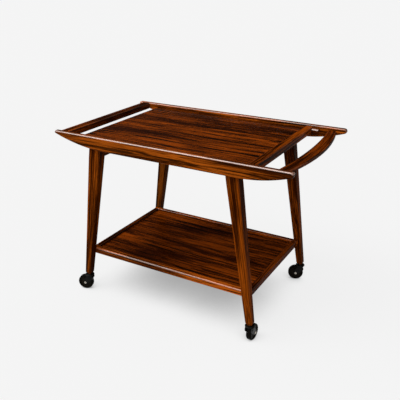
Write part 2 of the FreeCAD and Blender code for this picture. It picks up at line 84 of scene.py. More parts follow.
class Graph:
    """Adds nodes to one tree and links them, so that a material reads as a short recipe."""

    def __init__(self, tree: bpy.types.NodeTree) -> None:
        """Starts on an emptied tree."""
        self.tree = tree
        tree.nodes.clear()

    def add(self, kind: str, **settings: object) -> bpy.types.Node:
        """Adds a node.

        Args:
            kind: The node's type, without the leading "ShaderNode" where it has that.
            settings: Properties to set on the node.

        Returns:
            The new node.
        """
        full_kind = kind if kind.startswith("NodeGroup") else "ShaderNode" + kind
        node = self.tree.nodes.new(full_kind)
        for name, value in settings.items():
            setattr(node, name, value)
        return node

    def join(self, value: object, socket: bpy.types.NodeSocket) -> None:
        """Feeds a socket.

        Args:
            value: Another socket to link from, or a plain value to set.
            socket: The socket that is fed.
        """
        if isinstance(value, bpy.types.NodeSocket):
            self.tree.links.new(value, socket)
        else:
            socket.default_value = value

    def maths(self, operation: str, *values: object) -> bpy.types.NodeSocket:
        """Works out one number from others.

        Args:
            operation: The sum to do.
            values: Sockets or plain numbers.

        Returns:
            The result's socket.
        """
        node = self.add("Math", operation=operation)
        for value, socket in zip(values, node.inputs):
            self.join(value, socket)
        return node.outputs[0]

    def vector(self, operation: str, *values: object) -> bpy.types.NodeSocket:
        """Works out one vector from others, or the dot product of two.

        Args:
            operation: The sum to do.
            values: Sockets or plain vectors.

        Returns:
            The result's socket.
        """
        node = self.add("VectorMath", operation=operation)
        for value, socket in zip(values, node.inputs):
            self.join(value, socket)
        return node.outputs["Value" if operation == "DOT_PRODUCT" else "Vector"]

    def combine(self, x: object, y: object, z: object) -> bpy.types.NodeSocket:
        """Puts three numbers into a vector.

        Args:
            x: The first number, as a socket or a plain one.
            y: The second number.
            z: The third number.

        Returns:
            The vector's socket.
        """
        node = self.add("CombineXYZ")
        for value, socket in zip((x, y, z), node.inputs):
            self.join(value, socket)
        return node.outputs[0]

    def noise(
        self, place: object, detail: float, roughness: float = 0.5, scale: float = 1.0
    ) -> bpy.types.Node:
        """Adds a noise texture.

        Args:
            place: Where it is read.
            detail: How many finer layers it has.
            roughness: How strong those are.
            scale: How close it is.

        Returns:
            The texture's node.
        """
        node = self.add("TexNoise")
        self.join(place, node.inputs["Vector"])
        node.inputs["Scale"].default_value = scale
        node.inputs["Detail"].default_value = detail
        node.inputs["Roughness"].default_value = roughness
        return node

    def remap(
        self, value: object, low: float, high: float, to_low: object = 0.0, to_high: object = 1.0
    ) -> bpy.types.NodeSocket:
        """Carries a value smoothly from one range to another, held at both ends.

        Args:
            value: The value.
            low: Where the first range starts.
            high: Where it ends.
            to_low: What the start is carried to, as a socket or a plain number.
            to_high: What the end is carried to.

        Returns:
            The new value's socket.
        """
        node = self.add("MapRange", interpolation_type="SMOOTHSTEP")
        self.join(value, node.inputs["Value"])
        for name, setting in (("From Min", low), ("From Max", high), ("To Min", to_low), ("To Max", to_high)):
            self.join(setting, node.inputs[name])
        return node.outputs[0]

    def mix(self, share: object, first: object, second: object) -> bpy.types.NodeSocket:
        """Mixes two colours.

        Args:
            share: How much of the second colour is taken.
            first: A colour, or a socket that gives one.
            second: The same.

        Returns:
            The mixture's socket.
        """
        node = self.add("Mix", data_type="RGBA")
        self.join(share, node.inputs["Factor"])
        for value, socket in ((first, node.inputs["A"]), (second, node.inputs["B"])):
            self.join(opaque(value) if isinstance(value, tuple) else value, socket)
        return node.outputs["Result"]

    def bump(self, height: object, strength: float, distance: float) -> bpy.types.NodeSocket:
        """Turns a height into a normal.

        Args:
            height: The height's socket.
            strength: How much of the relief is used.
            distance: How deep the relief is.

        Returns:
            The normal's socket.
        """
        node = self.add("Bump")
        node.inputs["Strength"].default_value = strength
        node.inputs["Distance"].default_value = distance
        self.join(height, node.inputs["Height"])
        return node.outputs[0]

    def group(self, tree: bpy.types.NodeTree, **values: object) -> bpy.types.Node:
        """Places a shared group with its own values.

        Args:
            tree: The group.
            values: Its inputs by name, in small letters and with underscores for spaces.

        Returns:
            The group's node.
        """
        node = self.add("Group", node_tree=tree)
        for name, value in values.items():
            self.join(value, node.inputs[name.replace("_", " ").title()])
        return node


def opaque(colour: Colour) -> Tuple[float, float, float, float]:
    """A colour with full alpha."""
    return (*colour, 1.0)


class Figure:
    """Rosewood's figure as a shared group: clouds, bands, streaks, hairs, black ink lines and open pores.

    Each layer is noise at a place that is stretched, first along the fibres and then across them. Bands,
    hairs and ink stretch places counted in streaks; pores, clouds and the drift stretch places in metres.
    """

    NAME = "rosewood figure"
    BAND_STRETCH: Triple = (0.30, 0.22, 0.22)
    HAIR_STRETCH: Triple = (1.1, 3.1, 3.1)
    INK_STRETCH: Triple = (0.62, 0.70, 0.70)
    INK_SHIFT: Triple = (7.0, 13.0, 5.0)
    PORE_STRETCH: Triple = (70.0, 1300.0, 1300.0)
    CLOUD_STRETCH: Triple = (3.2, 7.5, 7.5)
    DRIFT_STRETCH: Triple = (2.6, 9.0, 9.0)
    NOISE_MIDDLE = 0.5
    BAND_SHARE = 0.30
    STREAK_SHARE = 0.36
    HAIR_SHARE = 0.34
    CLOUD_SHARE = 0.24
    TONE_RANGE: Range = (0.43, 0.59)
    INK_RANGE: Range = (0.50, 0.59)
    PORE_RANGE: Range = (0.60, 0.72)
    PORE_INK = 0.45
    STREAK_RELIEF = 0.5

    def __init__(self) -> None:
        """Builds the group once."""
        self.tree = bpy.data.node_groups.new(self.NAME, "ShaderNodeTree")
        graph = Graph(self.tree)
        self._sockets()
        inside = graph.add("NodeGroupInput").outputs
        outside = graph.add("NodeGroupOutput").inputs
        place = self._fibres(graph, inside)
        band = graph.noise(graph.vector("MULTIPLY", place, self.BAND_STRETCH), detail=2.0)
        streak = graph.noise(place, detail=3.0, roughness=0.58)
        hair = graph.noise(graph.vector("MULTIPLY", place, self.HAIR_STRETCH), detail=2.0, roughness=0.6)
        ink_place = graph.vector("ADD", graph.vector("MULTIPLY", place, self.INK_STRETCH), self.INK_SHIFT)
        ink = graph.noise(ink_place, detail=3.0, roughness=0.55)
        pores = graph.noise(graph.vector("MULTIPLY", inside["Vector"], self.PORE_STRETCH), detail=1.0)
        cloud = graph.noise(graph.vector("MULTIPLY", inside["Vector"], self.CLOUD_STRETCH), detail=1.0)
        tone = graph.maths("MULTIPLY", band.outputs["Fac"], self.BAND_SHARE)
        tone = graph.maths("ADD", tone, graph.maths("MULTIPLY", streak.outputs["Fac"], self.STREAK_SHARE))
        tone = graph.maths("ADD", tone, graph.maths("MULTIPLY", hair.outputs["Fac"], self.HAIR_SHARE))
        swing = graph.maths("SUBTRACT", cloud.outputs["Fac"], self.NOISE_MIDDLE)
        tone = graph.maths("ADD", tone, graph.maths("MULTIPLY", swing, self.CLOUD_SHARE))
        tone = graph.remap(tone, *self.TONE_RANGE)
        black = graph.maths("MULTIPLY", graph.remap(ink.outputs["Fac"], *self.INK_RANGE), inside["Streaks"])
        pits = graph.remap(pores.outputs["Fac"], *self.PORE_RANGE)
        colour = graph.mix(tone, inside["Mid"], inside["Light"])
        colour = graph.mix(black, colour, inside["Dark"])
        colour = graph.mix(graph.maths("MULTIPLY", pits, self.PORE_INK), colour, inside["Dark"])
        graph.join(colour, outside["Color"])
        ridges = graph.maths("MULTIPLY", streak.outputs["Fac"], self.STREAK_RELIEF)
        graph.join(graph.maths("SUBTRACT", ridges, pits), outside["Height"])

    def _sockets(self) -> None:
        """Names the group's inputs and outputs."""
        face = self.tree.interface
        for name, kind in (
            ("Vector", "NodeSocketVector"),
            ("Streak Length", "NodeSocketFloat"),
            ("Streak Width", "NodeSocketFloat"),
            ("Wander", "NodeSocketFloat"),
            ("Streaks", "NodeSocketFloat"),
            ("Light", "NodeSocketColor"),
            ("Mid", "NodeSocketColor"),
            ("Dark", "NodeSocketColor"),
        ):
            face.new_socket(name, in_out="INPUT", socket_type=kind)
        for name, kind in (("Color", "NodeSocketColor"), ("Height", "NodeSocketFloat")):
            face.new_socket(name, in_out="OUTPUT", socket_type=kind)

    def _fibres(self, graph: Graph, inside: Dict[str, bpy.types.NodeSocket]) -> bpy.types.NodeSocket:
        """Measures places in streaks: lengths along the fibres and widths across them, which wander slowly.

        Args:
            graph: The group's graph.
            inside: The group's inputs.

        Returns:
            The place, counted in streak lengths and widths.
        """
        slow = graph.noise(graph.vector("MULTIPLY", inside["Vector"], self.DRIFT_STRETCH), detail=2.0)
        drift = graph.vector("SUBTRACT", slow.outputs["Color"], (self.NOISE_MIDDLE,) * 3)
        drift_size = graph.combine(0.0, inside["Wander"], inside["Wander"])
        place = graph.vector("ADD", inside["Vector"], graph.vector("MULTIPLY", drift, drift_size))
        streak_size = graph.combine(inside["Streak Length"], inside["Streak Width"], inside["Streak Width"])
        return graph.vector("DIVIDE", place, streak_size)


class EasedEdges:
    """A shared group that finds timber's rounded upper edges, where hands polish it and thin its stain; its
    rubbed mask also carries a painted highlight.
    """

    NAME = "eased edges"
    SQUARENESS: Range = (0.992, 0.925)
    LIFT: Range = (0.05, 0.40)
    PATCH_SCALE = 38.0
    PATCH_RANGE: Range = (0.35, 0.65)

    def __init__(self) -> None:
        """Builds the group once."""
        self.tree = bpy.data.node_groups.new(self.NAME, "ShaderNodeTree")
        graph = Graph(self.tree)
        face = self.tree.interface
        face.new_socket("Patchiness", in_out="INPUT", socket_type="NodeSocketFloat")
        face.new_socket("Upper", in_out="OUTPUT", socket_type="NodeSocketFloat")
        face.new_socket("Rubbed Highlight", in_out="OUTPUT", socket_type="NodeSocketFloat")
        inside = graph.add("NodeGroupInput").outputs
        outside = graph.add("NodeGroupOutput").inputs
        place = graph.add("TexCoord").outputs
        turned = graph.add("SeparateXYZ")
        graph.join(graph.vector("ABSOLUTE", place["Normal"]), turned.inputs[0])
        squarest = graph.maths(
            "MAXIMUM", graph.maths("MAXIMUM", turned.outputs[0], turned.outputs[1]), turned.outputs[2]
        )
        edge = graph.remap(squarest, *self.SQUARENESS)
        lift = graph.add("SeparateXYZ")
        graph.join(place["Normal"], lift.inputs[0])
        upper = graph.maths("MULTIPLY", edge, graph.remap(lift.outputs["Z"], *self.LIFT))
        patches = graph.noise(place["Object"], detail=3.0, roughness=0.6, scale=self.PATCH_SCALE)
        patched = graph.remap(patches.outputs["Fac"], *self.PATCH_RANGE)
        kept = graph.maths("SUBTRACT", 1.0, graph.maths("MULTIPLY", patched, inside["Patchiness"]))
        graph.join(upper, outside["Upper"])
        # The rubbed mask paints upper edges paler: partly real wear, partly a painted highlight.
        graph.join(graph.maths("MULTIPLY", upper, kept), outside["Rubbed Highlight"])


class Handling:
    """A shared group of fine surface unevenness: a close grain for relief and soft smudges for gloss."""

    NAME = "handling"
    SMUDGE_RANGE: Range = (0.38, 0.66)

    def __init__(self) -> None:
        """Builds the group once."""
        self.tree = bpy.data.node_groups.new(self.NAME, "ShaderNodeTree")
        graph = Graph(self.tree)
        face = self.tree.interface
        face.new_socket("Grain Scale", in_out="INPUT", socket_type="NodeSocketFloat")
        face.new_socket("Smudge Scale", in_out="INPUT", socket_type="NodeSocketFloat")
        face.new_socket("Relief", in_out="OUTPUT", socket_type="NodeSocketFloat")
        face.new_socket("Smudge", in_out="OUTPUT", socket_type="NodeSocketFloat")
        inside = graph.add("NodeGroupInput").outputs
        outside = graph.add("NodeGroupOutput").inputs
        place = graph.add("TexCoord").outputs["Object"]
        relief = graph.noise(place, detail=2.0)
        graph.join(inside["Grain Scale"], relief.inputs["Scale"])
        smudge = graph.noise(place, detail=3.0, roughness=0.65)
        graph.join(inside["Smudge Scale"], smudge.inputs["Scale"])
        graph.join(relief.outputs["Fac"], outside["Relief"])
        graph.join(graph.remap(smudge.outputs["Fac"], *self.SMUDGE_RANGE), outside["Smudge"])


@dataclass(frozen=True)
class Shared:
    """The groups that the finishes place in their materials."""

    figure: Figure
    edges: EasedEdges
    handling: Handling


def new_material(name: str) -> Tuple[bpy.types.Material, Graph, bpy.types.Node]:
    """Starts a material.

    Args:
        name: The material's name.

    Returns:
        The material, its graph and its shader, already joined to the output.
    """
    material = bpy.data.materials.new(name)
    material.use_nodes = True
    graph = Graph(material.node_tree)
    shader = graph.add("BsdfPrincipled")
    graph.join(shader.outputs[0], graph.add("OutputMaterial").inputs["Surface"])
    return material, graph, shader


@dataclass(frozen=True)
class Rosewood:
    """Polished rosewood, cut in one way for one kind of piece."""

    light: Colour = (0.420, 0.0900, 0.0056)
    mid: Colour = (0.040, 0.0072, 0.0005)
    dark: Colour = (0.0065, 0.0016, 0.0002)
    # Paler colour for rounded upper edges: partly rubbed wear, partly a painted highlight.
    rubbed_highlight_colour: Colour = (0.450, 0.230, 0.1500)
    streak_length: float = 0.190
    streak_width: float = 0.0050
    wander: float = 0.020
    streaks: float = 0.90
    # How much of the paler edge colour is mixed in: wear and painted highlight together.
    wear_and_highlight: float = 0.45
    patchiness: float = 0.6
    smudge_scale: float = 26.0
    relief: float = 0.12
    relief_depth: float = 0.0004
    gloss_tint: Colour = (1.0, 0.30, 0.05)
    specular: float = 0.015
    edge_coat: float = 0.85
    coat_ior: float = 2.3
    coat_roughness: float = 0.30
    gloss_low: float = 0.18
    gloss_high: float = 0.28
    lean_degrees: float = 8.5
    bow_radius: float = 1.1935
    bow_centre: float = -0.7840
    plank_step: float = 1.37

    def dressing(self, name: str, grain: Grain, seed: int, shared: Shared) -> bpy.types.Material:
        """Makes the material of one piece.

        Args:
            name: The piece's name.
            grain: Which way its fibres run.
            seed: Picks the part of the plank that the piece is cut from.
            shared: The shared groups.

        Returns:
            The finished material.
        """
        material, graph, shader = new_material("rosewood_" + name)
        figure = graph.group(
            shared.figure.tree,
            vector=self._place(graph, grain, seed),
            streak_length=self.streak_length,
            streak_width=self.streak_width,
            wander=self.wander,
            streaks=self.streaks,
            light=opaque(self.light),
            mid=opaque(self.mid),
            dark=opaque(self.dark),
        ).outputs
        edges = graph.group(shared.edges.tree, patchiness=self.patchiness).outputs
        handling = graph.group(shared.handling.tree, smudge_scale=self.smudge_scale).outputs
        # Paints rounded upper edges paler: rubbed wear plus a painted highlight.
        worn_and_highlit = graph.maths("MULTIPLY", edges["Rubbed Highlight"], self.wear_and_highlight)
        graph.join(graph.mix(worn_and_highlit, figure["Color"], self.rubbed_highlight_colour), shader.inputs["Base Color"])
        gloss = graph.remap(handling["Smudge"], 0.0, 1.0, self.gloss_low, self.gloss_high)
        graph.join(gloss, shader.inputs["Roughness"])
        graph.join(graph.maths("MULTIPLY", edges["Upper"], self.edge_coat), shader.inputs["Coat Weight"])
        graph.join(graph.bump(figure["Height"], self.relief, self.relief_depth), shader.inputs["Normal"])
        shader.inputs["Specular IOR Level"].default_value = self.specular
        shader.inputs["Specular Tint"].default_value = opaque(self.gloss_tint)
        shader.inputs["Coat Roughness"].default_value = self.coat_roughness
        shader.inputs["Coat IOR"].default_value = self.coat_ior
        return material

    def _place(self, graph: Graph, grain: Grain, seed: int) -> bpy.types.NodeSocket:
        """Turns the piece's place so that its fibres run along X, then moves it along the plank.

        Args:
            graph: The material's graph.
            grain: Which way the fibres run.
            seed: How many steps to move along the plank.

        Returns:
            The place on the plank.
        """
        place = graph.add("TexCoord").outputs["Object"]
        if grain is Grain.BOWED:
            place = self._straightened(graph, place)
        mapping = graph.add("Mapping", vector_type="POINT")
        graph.join(place, mapping.inputs["Vector"])
        lean = math.radians(self.lean_degrees)
        quarter = math.pi / 2
        mapping.inputs["Rotation"].default_value = {
            Grain.ALONG: (0.0, 0.0, 0.0),
            Grain.ACROSS: (0.0, 0.0, -quarter),
            Grain.LEFT_LEG: (0.0, quarter - lean, 0.0),
            Grain.RIGHT_LEG: (0.0, quarter + lean, 0.0),
            Grain.BOWED: (0.0, 0.0, -quarter),
        }[grain]
        mapping.inputs["Location"].default_value = (self.plank_step * seed, 0.0, 0.0)
        return mapping.outputs[0]

    def _straightened(self, graph: Graph, place: bpy.types.NodeSocket) -> bpy.types.NodeSocket:
        """Unrolls the bow, so that the fibres follow it.

        Args:
            graph: The material's graph.
            place: The place on the bowed piece.

        Returns:
            The place on a straight one.
        """
        parts = graph.add("SeparateXYZ")
        graph.join(place, parts.inputs[0])
        out = graph.maths("SUBTRACT", parts.outputs["X"], self.bow_centre)
        turn = graph.maths("ARCTAN2", parts.outputs["Y"], out)
        reach = graph.maths(
            "SQRT",
            graph.maths(
                "ADD",
                graph.maths("MULTIPLY", out, out),
                graph.maths("MULTIPLY", parts.outputs["Y"], parts.outputs["Y"]),
            ),
        )
        round_bow = graph.maths("MULTIPLY", turn, self.bow_radius)
        return graph.combine(graph.maths("SUBTRACT", reach, self.bow_radius), round_bow, parts.outputs["Z"])


@dataclass(frozen=True)
class BareWood:
    """Plain pale dowel wood, hidden inside the joints."""

    pale: Colour = (0.52, 0.33, 0.17)
    deep: Colour = (0.36, 0.21, 0.10)
    grain_scale: float = 700.0
    smudge_scale: float = 120.0
    relief: float = 0.2
    relief_depth: float = 0.0002
    roughness: float = 0.7

    def dressing(self, name: str, shared: Shared) -> bpy.types.Material:
        """Makes the material of one set of dowels.

        Args:
            name: The set's name.
            shared: The shared groups.

        Returns:
            The finished material.
        """
        material, graph, shader = new_material("bare_wood_" + name)
        handling = graph.group(
            shared.handling.tree, grain_scale=self.grain_scale, smudge_scale=self.smudge_scale
        ).outputs
        graph.join(graph.mix(handling["Smudge"], self.pale, self.deep), shader.inputs["Base Color"])
        graph.join(graph.bump(handling["Relief"], self.relief, self.relief_depth), shader.inputs["Normal"])
        shader.inputs["Roughness"].default_value = self.roughness
        return material


@dataclass(frozen=True)
class BlackFinish:
    """A black surface with its own grain, gloss and handling: rubber, moulded plastic or painted steel."""

    colour: Colour
    dusty: Colour
    rough_low: float
    rough_high: float
    grain_scale: float
    smudge_scale: float
    relief: float
    specular: float
    relief_depth: float = 0.0002

    def dressing(self, name: str, shared: Shared) -> bpy.types.Material:
        """Makes the material of one kind of piece.

        Args:
            name: The material's name.
            shared: The shared groups.

        Returns:
            The finished material.
        """
        material, graph, shader = new_material(name)
        handling = graph.group(
            shared.handling.tree, grain_scale=self.grain_scale, smudge_scale=self.smudge_scale
        ).outputs
        graph.join(graph.mix(handling["Smudge"], self.colour, self.dusty), shader.inputs["Base Color"])
        rough = graph.remap(handling["Smudge"], 0.0, 1.0, self.rough_low, self.rough_high)
        graph.join(rough, shader.inputs["Roughness"])
        graph.join(graph.bump(handling["Relief"], self.relief, self.relief_depth), shader.inputs["Normal"])
        shader.inputs["Specular IOR Level"].default_value = self.specular
        return material


@dataclass(frozen=True)
class PlatedSteel:
    """Zinc-plated steel with a faint cloudiness."""

    bright: Colour = (0.44, 0.40, 0.34)
    cloudy: Colour = (0.27, 0.24, 0.20)
    rough_low: float = 0.22
    rough_high: float = 0.40
    grain_scale: float = 1500.0
    smudge_scale: float = 240.0
    relief: float = 0.1
    relief_depth: float = 0.0001

    def dressing(self, name: str, shared: Shared) -> bpy.types.Material:
        """Makes the material of one kind of piece.

        Args:
            name: What kind of piece it is.
            shared: The shared groups.

        Returns:
            The finished material.
        """
        material, graph, shader = new_material("plated_steel_" + name)
        handling = graph.group(
            shared.handling.tree, grain_scale=self.grain_scale, smudge_scale=self.smudge_scale
        ).outputs
        graph.join(graph.mix(handling["Smudge"], self.bright, self.cloudy), shader.inputs["Base Color"])
        rough = graph.remap(handling["Smudge"], 0.0, 1.0, self.rough_low, self.rough_high)
        graph.join(rough, shader.inputs["Roughness"])
        graph.join(graph.bump(handling["Relief"], self.relief, self.relief_depth), shader.inputs["Normal"])
        shader.inputs["Metallic"].default_value = 1.0
        return material


def dress(node: str, material: bpy.types.Material, frame: Frame) -> None:
    """Gives a CAD node its material.

    Args:
        node: The node's name.
        material: The material.
        frame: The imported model.
    """
    for slot in frame["nodes"][node].material_slots:
        slot.material = material
    LOG.info("%s wears %s", node, material.name)


class Shaping:
    """One small piece in the making, skinned from rings of points."""

    STEPS = 96
    SHARP_DEGREES = 32.0

    def __init__(self, name: str) -> None:
        """Starts with nothing."""
        self.name = name
        self.cage = bmesh.new()

    def skin(self, rings: Sequence[Sequence[Vector]], closed: bool) -> None:
        """Joins rings of points with four-sided faces.

        Args:
            rings: Rings with the same number of points, in order.
            closed: Whether the last ring joins the first. Otherwise both end rings are filled.
        """
        rows = [[self.cage.verts.new(point) for point in ring] for ring in rings]
        pairs = list(zip(rows, rows[1:]))
        if closed:
            pairs.append((rows[-1], rows[0]))
        else:
            self.cage.faces.new(rows[0])
            self.cage.faces.new(rows[-1])
        for first, second in pairs:
            for index, corner in enumerate(first):
                following = (index + 1) % len(first)
                self.cage.faces.new((corner, first[following], second[following], second[index]))

    def turn(self, profile: Profile, place: Matrix, rise: Callable[[float, float], float]) -> None:
        """Turns a closed outline about its own Z axis.

        Args:
            profile: The outline's corners, as radius and height.
            place: Carries the turned ring to its place.
            rise: Gives what a point is raised by, from its radius and its angle.
        """
        angles = [math.tau * step / self.STEPS for step in range(self.STEPS)]
        rings = []
        for radius, height in profile:
            ring = []
            for angle in angles:
                x, y = radius * math.cos(angle), radius * math.sin(angle)
                ring.append(place @ Vector((x, y, height + rise(radius, angle))))
            rings.append(ring)
        self.skin(rings, closed=True)

    def set_on(self, body: str, slot: str, material: bpy.types.Material) -> None:
        """Finishes the piece and sets it on the body that carries it.

        Args:
            body: The body that the piece moves with.
            slot: The record's slot that its finish belongs to. It is not used.
            material: Its finish.
        """
        bmesh.ops.recalc_face_normals(self.cage, faces=self.cage.faces[:])
        mesh = bpy.data.meshes.new(self.name)
        self.cage.to_mesh(mesh)
        self.cage.free()
        mesh.shade_smooth()
        mesh.set_sharp_from_angle(angle=math.radians(self.SHARP_DEGREES))
        mesh.materials.append(material)
        piece = bpy.data.objects.new(self.name, mesh)
        bpy.context.collection.objects.link(piece)
        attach(piece, body)
        LOG.info("%s rides on %s in %s", self.name, body, material.name)


def level(radius: float, angle: float) -> float:
    """No rise anywhere."""
    return 0.0


@dataclass
class Tray:
    """The tray: rails, panel, cross bar, corner blocks, both handles and the dowels that hold the legs."""

    first_seed: int = 1
    # The rails' tops get a strong paler edge: wear with a painted highlight along the beads.
    solid: Rosewood = Rosewood(wear_and_highlight=0.80)
    # A paler copy for the rear rail, whose inner side faces the light: painted light.
    lit_paler: Rosewood = replace(
        solid, light=(0.560, 0.1210, 0.0078), mid=(0.055, 0.0100, 0.0007), wear_and_highlight=0.35, edge_coat=0.50
    )
    # A darker copy for the corner blocks: painted shade on their faces.
    shaded_darker: Rosewood = replace(solid, light=(0.180, 0.0330, 0.0014), mid=(0.018, 0.0030, 0.0002))
    # A darker, less glossy copy for pieces seen from their right-facing sides: the low gloss is the finish,
    # the darker tone is painted shade.
    quiet_shaded: Rosewood = Rosewood(
        light=(0.280, 0.0520, 0.0022),
        mid=(0.024, 0.0040, 0.0003),
        wear_and_highlight=0.10,
        specular=0.004,
        edge_coat=0.07,
    )
    bow: Rosewood = Rosewood(
        light=(0.240, 0.0420, 0.0017),
        mid=(0.026, 0.0043, 0.0003),
        wear_and_highlight=0.10,
        specular=0.004,
        edge_coat=0.07,
    )
    veneer: Rosewood = Rosewood(
        light=(0.310, 0.0550, 0.0022),
        mid=(0.025, 0.0040, 0.0003),
        streaks=1.0,
        streak_length=0.270,
        streak_width=0.0056,
        wander=0.040,
        specular=0.04,
    )

    def dress(self, frame: Frame, shared: Shared) -> None:
        """Dresses every piece of the tray.

        Args:
            frame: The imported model.
            shared: The shared groups.
        """
        cuts: Sequence[Tuple[str, Rosewood, Grain]] = (
            ("front_rail", self.solid, Grain.ALONG),
            ("rear_rail", self.lit_paler, Grain.ALONG),
            ("tray_panel", self.veneer, Grain.ALONG),
            ("tray_cross_bar", self.quiet_shaded, Grain.ACROSS),
            ("tray_corner_blocks", self.shaded_darker, Grain.ALONG),
            ("lift_handle", self.quiet_shaded, Grain.ACROSS),
            ("push_handle", self.bow, Grain.BOWED),
        )
        for seed, (node, wood, grain) in enumerate(cuts, start=self.first_seed):
            dress(node, wood.dressing(node, grain, seed, shared), frame)
        dress("rail_dowels", BareWood().dressing("rail_dowels", shared), frame)


@dataclass
class UnderFrame:
    """The four legs and the two aprons."""

    first_seed: int = 14
    wood: Rosewood = Rosewood(
        light=(0.350, 0.0700, 0.0034),
        mid=(0.037, 0.0062, 0.0004),
        streak_length=0.240,
        streak_width=0.0040,
        streaks=0.62,
        wear_and_highlight=0.10,
        specular=0.004,
        edge_coat=0.18,
    )
    # A paler copy for the front-left leg, standing for the light on it: painted light.
    lit_paler: Rosewood = replace(wood, light=(0.440, 0.0920, 0.0048), mid=(0.047, 0.0080, 0.0006))
    # A darker copy for the rear-left leg, under the tray: painted shade.
    shaded_darker: Rosewood = replace(wood, light=(0.185, 0.0460, 0.0042), mid=(0.0195, 0.0041, 0.0005))

    def dress(self, frame: Frame, shared: Shared) -> None:
        """Dresses the legs and the aprons.

        Args:
            frame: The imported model.
            shared: The shared groups.
        """
        # The front-left leg wears a paler copy (painted light), the rear-left leg a darker one (painted
        # shade).
        lit_and_shaded_legs = {"front_left_leg": self.lit_paler, "rear_left_leg": self.shaded_darker}
        for seed, side in enumerate(("left", "right"), start=self.first_seed):
            lean = Grain.LEFT_LEG if side == "left" else Grain.RIGHT_LEG
            apron = side + "_apron"
            dress(apron, self.wood.dressing(apron, Grain.ACROSS, seed, shared), frame)
            for end_seed, end in enumerate(("front", "rear")):
                leg = f"{end}_{side}_leg"
                wood = lit_and_shaded_legs.get(leg, self.wood)
                dress(leg, wood.dressing(leg, lean, 2 * seed + end_seed, shared), frame)


@dataclass
class Shelf:
    """The lower shelf: a panel inside four lips, and the dowels that hold it."""

    first_seed: int = 31
    solid: Rosewood = Rosewood(
        light=(0.540, 0.1080, 0.0060), mid=(0.052, 0.0090, 0.0006), wear_and_highlight=0.30, edge_coat=0.40
    )
    # A darker, less glossy copy for the side lips, seen from their right-facing sides: the low gloss is the
    # finish, the darker tone is painted shade.
    quiet_shaded: Rosewood = Rosewood(
        light=(0.210, 0.0385, 0.0016),
        mid=(0.019, 0.0031, 0.0002),
        wear_and_highlight=0.10,
        specular=0.004,
        edge_coat=0.07,
    )
    # Darker than the tray's veneer: painted shade under the tray.
    veneer: Rosewood = Rosewood(
        light=(0.270, 0.0480, 0.0020),
        mid=(0.024, 0.0038, 0.0003),
        streak_length=0.270,
        streak_width=0.0056,
        wander=0.040,
        specular=0.04,
    )

    def dress(self, frame: Frame, shared: Shared) -> None:
        """Dresses the panel, the lips and the dowels.

        Args:
            frame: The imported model.
            shared: The shared groups.
        """
        cuts: Sequence[Tuple[str, Rosewood, Grain]] = (
            ("shelf_panel", self.veneer, Grain.ALONG),
            ("shelf_front_lip", self.solid, Grain.ALONG),
            ("shelf_rear_lip", self.solid, Grain.ALONG),
            ("shelf_left_lip", self.quiet_shaded, Grain.ACROSS),
            ("shelf_right_lip", self.quiet_shaded, Grain.ACROSS),
        )
        for seed, (node, wood, grain) in enumerate(cuts, start=self.first_seed):
            dress(node, wood.dressing(node, grain, seed, shared), frame)
        dress("shelf_dowels", BareWood().dressing("shelf_dowels", shared), frame)


